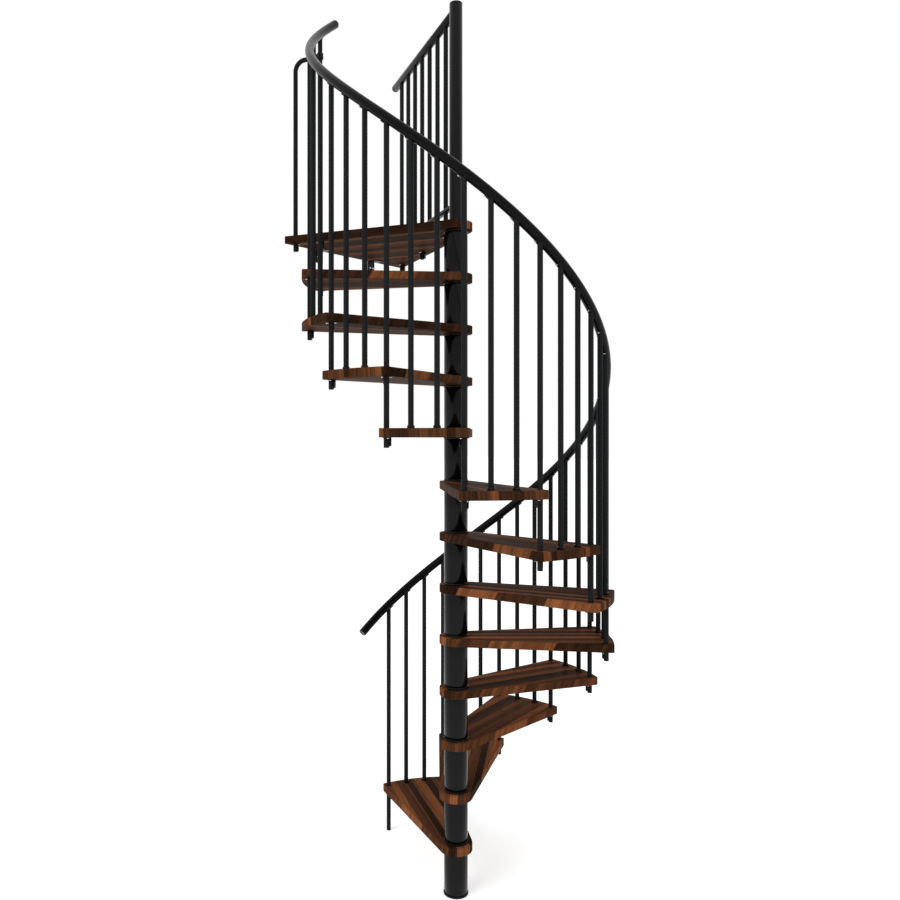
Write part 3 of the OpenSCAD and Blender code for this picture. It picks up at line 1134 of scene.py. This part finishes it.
@dataclass
class Seat:
    """The screwed plate with a tab that holds a baluster under a board, modelled once."""

    plan: StairPlan
    length: float = 0.048
    half_width: float = 0.012
    end_round: float = 0.0118
    thickness: float = 0.003
    tongue_inset: float = 0.0002
    tab_gap: float = 0.0005
    tab_thickness: float = 0.006
    tab_width: float = 0.018
    tab_height: float = 0.034
    tab_round: float = 0.007
    screw: float = 0.0038
    screw_height: float = 0.0022
    screw_place: float = 0.018
    plate: Piece = field(init=False)
    screws: Piece = field(init=False)

    def __post_init__(self) -> None:
        """Models the plate and its screws, hanging from height 0."""
        self.plate = self.model_plate()
        self.screws = self.model_screws()

    def model_plate(self) -> Piece:
        """Bends the plate.

        Returns:
            The plate along X, with its tab on the +Y side.
        """
        end, side, inset = self.length / 2, self.tab_width / 2, self.tongue_inset
        near = self.plan.rod + self.tab_gap
        far = near + self.tab_thickness
        plate = Bench.block(
            "seat_plate", (-end, -self.half_width, -self.thickness), (end, self.half_width, 0.0)
        )
        Bench.round_edges(plate, Edges.upright_corner, self.end_round, 6)
        Bench.round_edges(plate, Edges.rim, *FINE)
        tongue = Bench.block(
            "seat_tongue", (-side, 0.0, -self.thickness + inset), (side, far - inset, -inset)
        )
        tab = Bench.block(
            "seat_tab", (-side, near, -self.tab_height), (side, far, -self.thickness / 2)
        )
        Bench.round_edges(tab, self.tab_corner, self.tab_round, 4)
        Bench.round_edges(tab, Edges.sharp, *SLIGHT)
        return Bench.soften(Bench.join("seat_pattern", [plate, tongue, tab]))

    def tab_corner(self, edge: Edge) -> bool:
        """Finds the lower corners of the tab."""
        first, second = (vert.co for vert in edge.verts)
        through = abs(first.y - second.y) > self.tab_thickness / 2
        return through and max(first.z, second.z) < -self.tab_height / 2

    def model_screws(self) -> Piece:
        """Makes the two screws in the ends of the plate.

        Returns:
            The heads of the screws.
        """
        low = -self.thickness - self.screw_height
        heads = []
        for x in (-self.screw_place, self.screw_place):
            head = Bench.cylinder("seat_screw", self.screw, low, -self.thickness / 2, 20, (x, 0.0))
            Bench.round_edges(head, Edges.bottom_rim, 0.0014, 3)
            heads.append(head)
        return Bench.soften(Bench.join("screw_pair", heads))

    def fix(self, name: str, places: Sequence[Matrix], node: str) -> None:
        """Sets a seat at each place.

        Args:
            name: Name of the seats.
            places: Where the balusters come through a board, with X along the plate.
            node: Node of the part that the seats stand for.
        """
        hand_over(Bench.spread(f"{name}_plates", self.plate, places), STEEL_COAT, node)
        hand_over(Bench.spread(f"{name}_screws", self.screws, places), ZINC)


@dataclass
class Railing:
    """Balusters, their feet and seats, and the helical handrail on them."""

    plan: StairPlan
    rod: Rod
    seat: Seat
    lead: float = math.radians(14.0)
    tail: float = math.radians(13.2)
    winding_steps: int = 300
    collar: float = 0.0145
    collar_height: float = 0.0105
    collar_round: float = 0.0026
    saddle_length: float = 0.030
    saddle_width: float = 0.014
    saddle_thickness: float = 0.0035
    saddle_depth: float = 0.004
    screw: float = 0.0035
    screw_height: float = 0.0022
    screw_inset: float = 0.006

    def build(self) -> None:
        """Builds and dresses all pieces of the railing."""
        self.build_balusters()
        self.build_collars()
        self.build_seats()
        self.build_saddles()
        self.build_handrail()
        self.build_caps()

    def baluster(self, number: int, foot: float) -> Piece:
        """Cuts a baluster that ends in the handrail.

        Args:
            number: Number of the baluster.
            foot: Height of its lower end.

        Returns:
            The baluster.
        """
        plan = self.plan
        top = plan.rail_z(number) - plan.joint_depth * plan.rail
        return self.rod.cut(f"baluster_{number}", plan.at_rod(number, 0.0), foot, top)

    def build_balusters(self) -> None:
        """Stands the balusters on the floor and on the treads."""
        plan = self.plan
        first = self.baluster(0, 0.0)
        first.name = "floor_baluster"
        hand_over(first, ROD_COAT, "first_baluster")
        for tread in plan.numbers():
            top = plan.level(tread)
            last = tread * plan.rods_per_tread
            short = range(last - plan.rods_per_tread + 1, last)
            bars = [self.baluster(number, top) for number in short]
            bars.append(self.baluster(last, top - plan.board - plan.stub))
            hand_over(Bench.join(f"bars_{tread:02d}", bars), ROD_COAT, f"balusters_{tread:02d}")

    def build_collars(self) -> None:
        """Moulds the foot of a short baluster and sets one on each."""
        plan = self.plan
        foot = Bench.cylinder("collar_pattern", self.collar, 0.0, self.collar_height, 48)
        Bench.soften(foot, (Edges.top_rim, self.collar_round, 5), (Edges.bottom_rim, 0.0005, 2))
        places = [
            plan.at_rod(number, plan.level(number // plan.rods_per_tread + 1))
            for number in range(plan.last_rod)
            if number % plan.rods_per_tread
        ]
        hand_over(Bench.spread("baluster_feet", foot, places), PLASTIC, "baluster_collars")
        Bench.scrap(foot)

    def build_seats(self) -> None:
        """Sets a seat under each board at each connecting baluster, turned to its middle."""
        plan = self.plan
        on_low, on_high = spin(math.pi - plan.seat_turn), spin(plan.seat_turn)
        places = []
        for tread in plan.numbers():
            under = plan.level(tread) - plan.board
            high = tread * plan.rods_per_tread
            places.append(plan.at_rod(high - plan.rods_per_tread, under) @ on_low)
            places.append(plan.at_rod(high, under) @ on_high)
        places.append(plan.at_rod(plan.last_rod, plan.landing_top - plan.board) @ on_low)
        self.seat.fix("tread_seat", places, "baluster_seats")

    def build_saddles(self) -> None:
        """Makes the plate and screw that hold the handrail and sets them at each baluster."""
        plan = self.plan
        end = plan.rail * math.tan(plan.pitch)
        start, half = end - self.saddle_length, self.saddle_width / 2
        low = -plan.rail - self.saddle_thickness
        plate = Bench.block(
            "saddle_pattern", (-half, start, low), (half, end, self.saddle_depth - plan.rail)
        )
        Bench.soften(plate, (Edges.upright_corner, 0.004, 3), (Edges.bottom_rim, *SLIGHT))
        spot = (0.0, start + self.screw_inset)
        screw = Bench.cylinder(
            "screw_pattern", self.screw, low - self.screw_height, low + 0.001, 20, spot
        )
        Bench.soften(screw, (Edges.bottom_rim, 0.0012, 3))
        tilt = spin(-plan.pitch, "X")
        places = [
            plan.at_rod(number, plan.rail_z(number)) @ tilt for number in range(plan.last_rod + 1)
        ]
        hand_over(Bench.spread("rail_saddles", plate, places), STEEL_COAT, "handrail_saddles")
        hand_over(Bench.spread("saddle_screws", screw, places), ZINC)
        Bench.scrap(plate, screw)

    @property
    def first(self) -> float:
        """Baluster position at which the handrail starts."""
        return -self.lead / self.plan.rod_turn

    @property
    def last(self) -> float:
        """Baluster position at which the handrail ends."""
        return self.plan.last_rod + self.tail / self.plan.rod_turn

    def build_handrail(self) -> None:
        """Winds the handrail up around the column."""
        plan = self.plan
        run = self.last - self.first
        Bench.clear()
        bpy.ops.mesh.primitive_circle_add(
            vertices=40,
            radius=plan.rail,
            fill_type="NOTHING",
            location=(plan.rail_radius, 0.0, plan.rail_z(self.first)),
            rotation=(QUARTER - plan.pitch, 0.0, 0.0),
        )
        rail = Bench.settle("handrail")
        rail.data.transform(spin(plan.rod_angle(self.first)))
        Bench.apply(
            rail,
            "SCREW",
            angle=-run * plan.rod_turn,
            screw_offset=run * plan.rod_rise,
            steps=self.winding_steps,
            render_steps=self.winding_steps,
            axis="Z",
            use_merge_vertices=False,
        )
        Bench.pick(rail, Edges.open_end)
        bpy.ops.mesh.fill_holes(sides=0)
        Bench.leave()
        Bench.outward(rail)
        Bench.soften(rail)
        hand_over(rail, RAIL_COAT, "handrail_lower", "handrail_middle", "handrail_upper")

    def cap(self) -> Piece:
        """Moulds the cap that ends a handrail.

        Returns:
            The cap, standing on height 0.
        """
        cap = Bench.cylinder("cap_pattern", self.plan.rail, 0.0, self.plan.rail_cap)
        Bench.round_edges(cap, Edges.top_rim, 0.003, 4)
        Bench.pick(cap, lambda face: face.normal.z > 0.99, "FACE")
        bpy.ops.mesh.inset(thickness=0.0025)
        bpy.ops.mesh.inset(thickness=0.001, depth=-0.0007)
        Bench.leave()
        return Bench.soften(cap)

    def build_caps(self) -> None:
        """Ends the handrails with caps."""
        plan = self.plan
        cap = self.cap()
        places = [
            plan.at_rod(number, plan.rail_z(number)) @ spin(turn - plan.pitch, "X")
            for number, turn in ((self.first, -QUARTER), (self.last, QUARTER))
        ]
        rail = LandingRail(plan)
        end = plan.at(plan.landing_rail_angle, rail.reach - plan.rail_cap, rail.top)
        places.append(end @ spin(QUARTER, "Y"))
        hand_over(Bench.spread("rail_end_caps", cap, places), PLASTIC, "handrail_caps")
        Bench.scrap(cap)


@dataclass
class LandingRail:
    """The straight railing along the landing and the end baluster at its other side."""

    plan: StairPlan
    height: float = 0.972
    tail: float = 0.114
    rods: int = 7
    first_rod: float = 0.123
    last_inset: float = 0.063
    bottom_lift: float = 0.080
    bottom_width: float = 0.028
    bottom_thickness: float = 0.015
    end_drop: float = 0.106
    bend: float = 0.048
    bend_steps: int = 16
    clamp: float = 0.016
    clamp_height: float = 0.028
    socket: float = 0.014
    socket_length: float = 0.024

    @property
    def top(self) -> float:
        """Height of the middle of the handrail."""
        return self.plan.landing_top + self.height

    @property
    def last_rod(self) -> float:
        """Distance from the column to the last baluster."""
        return (self.plan.landing_reach - self.last_inset) / math.sin(self.plan.landing_rail_angle)

    @property
    def reach(self) -> float:
        """Distance from the column to the end of the handrail."""
        return self.last_rod + self.tail

    @property
    def under(self) -> float:
        """Height of the lower face of the landing."""
        return self.plan.landing_top - self.plan.board

    @property
    def foot(self) -> float:
        """Height of the lower ends of the balusters that go through the landing."""
        return self.under - self.plan.landing_stub

    def anchored(self) -> tuple[int, ...]:
        """Gives the balusters that go through the landing."""
        return (0, (self.rods - 1) // 2, self.rods - 1)

    def rod_place(self, number: int, height: float) -> Matrix:
        """Gives the place of a baluster of the landing."""
        step = (self.last_rod - self.first_rod) / (self.rods - 1)
        return self.plan.at(self.plan.landing_rail_angle, self.first_rod + number * step, height)

    def build(self, rod: Rod, seat: Seat) -> None:
        """Builds and dresses all pieces of the landing's railing.

        Args:
            rod: The bar that the balusters are cut from.
            seat: The seat that holds those that go through the landing.
        """
        self.build_handrail()
        self.build_rods(rod)
        self.build_bottom_rail()
        self.build_seats(seat)
        self.build_end_baluster()
        self.build_clamp()

    def build_handrail(self) -> None:
        """Cuts the straight handrail and fits it to the pole."""
        plan = self.plan
        start, end = plan.joint_depth * plan.pole, self.reach - plan.rail_cap
        rail = Bench.cylinder("landing_rail", plan.rail, start, end)
        Bench.soften(rail, (Edges.rim, *FINE))
        rail.data.transform(plan.at(plan.landing_rail_angle, 0.0, self.top) @ spin(QUARTER, "Y"))
        hand_over(rail, RAIL_COAT, "landing_handrail")

    def build_rods(self, rod: Rod) -> None:
        """Stands the balusters in the landing and on the bottom rail.

        Args:
            rod: The bar that they are cut from.
        """
        plan = self.plan
        on_rail = plan.landing_top + self.bottom_lift + self.bottom_thickness
        top = self.top - plan.joint_depth * plan.rail
        bars = []
        for number in range(self.rods):
            foot = self.foot if number in self.anchored() else on_rail
            bars.append(rod.cut(f"landing_bar_{number}", self.rod_place(number, 0.0), foot, top))
        hand_over(Bench.join("landing_bars", bars), ROD_COAT, "landing_balusters")

    def build_bottom_rail(self) -> None:
        """Cuts the bottom rail to length."""
        plan = self.plan
        low, half = plan.landing_top + self.bottom_lift, self.bottom_width / 2
        bar = Bench.block(
            "bottom_rail",
            (plan.joint_depth * plan.pole, -half, low),
            (self.last_rod + 2 * plan.rod, half, low + self.bottom_thickness),
        )
        Bench.soften(bar, (Edges.sharp, 0.002, 3))
        bar.data.transform(spin(plan.landing_rail_angle))
        hand_over(bar, STEEL_COAT, "landing_bottom_rail")

    def build_seats(self, seat: Seat) -> None:
        """Sets a seat under the landing at each baluster that goes through it.

        Args:
            seat: The seat.
        """
        plan = self.plan
        slanted = spin(math.pi - plan.seat_turn)
        places = [self.rod_place(number, self.under) @ slanted for number in self.anchored()]
        end = lift(self.under) @ Matrix.Translation(plan.end_post)
        places.append(end @ spin(QUARTER + plan.landing_half) @ spin(math.pi))
        seat.fix("landing_seat", places, "landing_seats")

    @property
    def end_height(self) -> float:
        """Height of the level part of the end baluster."""
        return self.plan.landing_top + self.plan.rail_height - self.end_drop

    def end_frame(self) -> tuple[Matrix, float]:
        """Gives the place of the end baluster and its distance from the last baluster.

        Returns:
            A matrix at the end baluster with X towards the last baluster, and the distance.
        """
        plan = self.plan
        way = plan.at_rod(plan.last_rod, 0.0).translation - plan.end_post
        return Matrix.Translation(plan.end_post) @ spin(math.atan2(way.y, way.x)), way.length

    def build_end_baluster(self) -> None:
        """Bends the end baluster like a cane."""
        place, run = self.end_frame()
        foot, bend_low = self.foot, self.end_height - self.bend
        Bench.clear()
        bpy.ops.mesh.primitive_circle_add(
            vertices=40, radius=self.plan.rod, fill_type="NGON", location=(0.0, 0.0, foot)
        )
        bar = Bench.settle("cane_baluster")
        Bench.pick(bar, Edges.open_end)
        bpy.ops.mesh.extrude_edges_move(
            TRANSFORM_OT_translate={"value": (0.0, 0.0, bend_low - foot)}
        )
        bpy.ops.mesh.spin(
            steps=self.bend_steps,
            dupli=False,
            angle=QUARTER,
            center=(self.bend, 0.0, bend_low),
            axis=(0.0, -1.0, 0.0),
        )
        level_run = run - self.bend - self.clamp
        bpy.ops.mesh.extrude_edges_move(TRANSFORM_OT_translate={"value": (level_run, 0.0, 0.0)})
        bpy.ops.mesh.edge_face_add()
        Bench.leave()
        Bench.outward(bar)
        Bench.soften(bar, (Edges.bottom_rim, *BAR_END))
        bar.data.transform(place)
        hand_over(bar, ROD_COAT, "end_baluster")

    def build_clamp(self) -> None:
        """Makes the clamp that ties the end baluster to the last baluster."""
        place, run = self.end_frame()
        half = self.clamp_height / 2
        collar = Bench.cylinder("clamp_collar", self.clamp, -half, half)
        Bench.round_edges(collar, Edges.rim, 0.002, 3)
        socket = Bench.cylinder("clamp_socket", self.socket, 0.0, self.clamp + self.socket_length)
        Bench.round_edges(socket, Edges.rim, 0.0015, 3)
        socket.data.transform(spin(-QUARTER, "Y"))
        clamp = Bench.soften(Bench.join("cane_clamp", [collar, socket]))
        clamp.data.transform(place @ Matrix.Translation((run, 0.0, self.end_height)))
        hand_over(clamp, PLASTIC, "end_clamp")


@dataclass
class FloorBrackets:
    """The two angle brackets that tie the landing to the upper floor."""

    plan: StairPlan
    left: float = -0.192
    right: float = 0.168
    width: float = 0.047
    depth: float = 0.060
    drop: float = 0.062
    thickness: float = 0.005
    bolt_pitch: float = 0.020
    bolt_drop: float = 0.033
    bolt_hole: float = 0.0045
    bolt_head: float = 0.0058
    bolt_head_height: float = 0.0045

    def build(self) -> None:
        """Builds and dresses the brackets and their bolts."""
        plan = self.plan
        angle, bolt = self.bracket(), self.bolt()
        bolts = []
        for name, x in (("left", self.left), ("right", self.right)):
            place = Matrix.Translation((x, plan.landing_reach, plan.landing_top - plan.board))
            piece = Bench.copy(angle, f"angle_bracket_{name}", place)
            hand_over(piece, STEEL_COAT, f"floor_bracket_{name}")
            for side in (-0.5, 0.5):
                spot = place @ Matrix.Translation((side * self.bolt_pitch, 0.0, -self.bolt_drop))
                bolts.append(Bench.copy(bolt, "bracket_bolt", spot))
        hand_over(Bench.join("bracket_bolts", bolts), ZINC)
        Bench.scrap(angle, bolt)

    def bracket(self) -> Piece:
        """Bends one bracket from a plate.

        Returns:
            The bracket, hanging from height 0 with its outer face at Y 0.
        """
        half = self.width / 2
        angle = Bench.block(
            "bracket_pattern", (-half, -self.depth, -self.thickness), (half, 0.0, 0.0)
        )
        Bench.edit(angle)
        bpy.ops.mesh.bisect(plane_co=(0.0, -self.thickness, 0.0), plane_no=(0.0, 1.0, 0.0))
        Bench.leave()
        Bench.pick(angle, self.flange_strip, "FACE")
        bpy.ops.mesh.extrude_region_move(
            TRANSFORM_OT_translate={"value": (0.0, 0.0, self.thickness - self.drop)}
        )
        Bench.leave()
        return Bench.soften(angle, (Edges.sharp, 0.001, 2))

    def flange_strip(self, face: Face) -> bool:
        """Finds the strip of the plate's lower face that the flange is drawn from."""
        return face.normal.z < -Edges.LEVEL and face.calc_center_median().y > -self.thickness

    def bolt(self) -> Piece:
        """Makes a bolt with a round head.

        Returns:
            The bolt along Y, with its end flush with the outer face of the bracket.
        """
        seat = self.thickness
        shank = Bench.cylinder("bolt_shank", self.bolt_hole, 0.0003, seat + 0.001, 24)
        Bench.round_edges(shank, Edges.rim, 0.0005, 2)
        head = Bench.cylinder("bolt_head", self.bolt_head, seat, seat + self.bolt_head_height, 32)
        Bench.round_edges(head, Edges.top_rim, 0.0028, 4)
        bolt = Bench.soften(Bench.join("bolt_pattern", [shank, head]))
        bolt.data.transform(spin(QUARTER, "X"))
        return bolt


# Studio


@dataclass
class Studio:
    """Pale floor, white surroundings, soft light and the camera."""

    eye: tuple[float, float, float] = (-2.8081, -2.4038, 2.0844)
    heading: float = math.radians(-45.206)
    focal: float = 806.96
    middle: tuple[float, float] = (396.22, 436.05)
    picture: float = 900.0
    sensor: float = 36.0
    floor_size: float = 120.0
    floor_tone: float = 0.82
    floor_glow: float = 0.52
    sky: float = 0.55
    key: float = 1.5
    fill: float = 0.8

    def build(self) -> None:
        """Sets up the studio."""
        bpy.context.scene.view_settings.view_transform = "Standard"
        self.build_floor()
        self.build_sky()
        self.add_lamp("key_light", self.key, 58.0, -95.0, 40.0)
        self.add_lamp("fill_light", self.fill, 68.0, -10.0, 60.0)
        self.add_camera()

    @staticmethod
    def seen(wire: Wiring) -> Socket:
        """Tells rays that look at the surroundings from rays that only light the part.

        Args:
            wire: Wiring of a material or of the surroundings.

        Returns:
            1 for camera, glossy and transmission rays, otherwise 0.
        """
        path = wire.add("ShaderNodeLightPath").outputs
        looks = wire.calc("MAXIMUM", path["Is Camera Ray"], path["Is Glossy Ray"])
        return wire.calc("MAXIMUM", looks, path["Is Transmission Ray"])

    def build_floor(self) -> None:
        """Lays the floor, white to the camera apart from the shadow on it."""
        Bench.clear()
        bpy.ops.mesh.primitive_plane_add(size=self.floor_size, location=(0.0, 0.0, 0.0))
        floor = Bench.settle("studio_floor")
        material = bpy.data.materials.new("pale_floor")
        wire = Wiring.fresh(material)
        tone = self.floor_tone
        matt = wire.add("ShaderNodeBsdfDiffuse", {"Color": (tone, tone, tone, 1.0)})
        strength = wire.times(self.seen(wire), self.floor_glow)
        glow = wire.add("ShaderNodeEmission", {"Strength": strength})
        both = wire.add("ShaderNodeAddShader")
        for target, shader in zip(both.inputs, (matt, glow)):
            wire.feed(target, shader.outputs[0])
        wire.add("ShaderNodeOutputMaterial", {"Surface": both.outputs[0]})
        floor.data.materials.append(material)

    def build_sky(self) -> None:
        """Makes the surroundings white to look at and a soft light otherwise."""
        world = bpy.data.worlds.new("studio_surroundings")
        wire = Wiring.fresh(world)
        strength = wire.plus(wire.times(self.seen(wire), 1.0 - self.sky), self.sky)
        white = {"Color": (1.0, 1.0, 1.0, 1.0), "Strength": strength}
        sky = wire.add("ShaderNodeBackground", white)
        wire.add("ShaderNodeOutputWorld", {"Surface": sky.outputs[0]})
        bpy.context.scene.world = world

    @staticmethod
    def add_lamp(name: str, strength: float, tilt: float, heading: float, spread: float) -> None:
        """Adds a large soft lamp, far away.

        Args:
            name: Name of the lamp.
            strength: Its strength.
            tilt: Angle from shining straight down, in degrees.
            heading: Direction that it is turned to, in degrees.
            spread: Angle that it is seen under, in degrees.
        """
        data = bpy.data.lights.new(name, "SUN")
        data.energy = strength
        data.angle = math.radians(spread)
        lamp = bpy.data.objects.new(name, data)
        lamp.rotation_euler = (math.radians(tilt), 0.0, math.radians(heading))
        lamp.visible_glossy = False
        bpy.context.scene.collection.objects.link(lamp)

    def add_camera(self) -> None:
        """Sets the camera at the height and angle of the picture."""
        data = bpy.data.cameras.new("camera")
        data.sensor_width = self.sensor
        data.lens = self.focal / self.picture * self.sensor
        data.shift_x = 0.5 - self.middle[0] / self.picture
        data.shift_y = self.middle[1] / self.picture - 0.5
        data.clip_end = 200.0
        camera = bpy.data.objects.new("camera", data)
        camera.location = self.eye
        camera.rotation_euler = (QUARTER, 0.0, self.heading)
        bpy.context.scene.collection.objects.link(camera)
        bpy.context.scene.camera = camera


def main() -> None:
    """Builds the sub-assemblies in order."""
    logging.basicConfig(level=logging.INFO, format="%(name)s: %(message)s")
    plan = StairPlan()
    rod = Rod(plan)
    seat = Seat(plan)
    Column(plan).build()
    Boards(plan).build()
    Railing(plan, rod, seat).build()
    LandingRail(plan).build(rod, seat)
    FloorBrackets(plan).build()
    Bench.scrap(rod.pattern, seat.plate, seat.screws)
    Studio().build()
    bpy.context.view_layer.update()


if __name__ == "__main__":
    main()
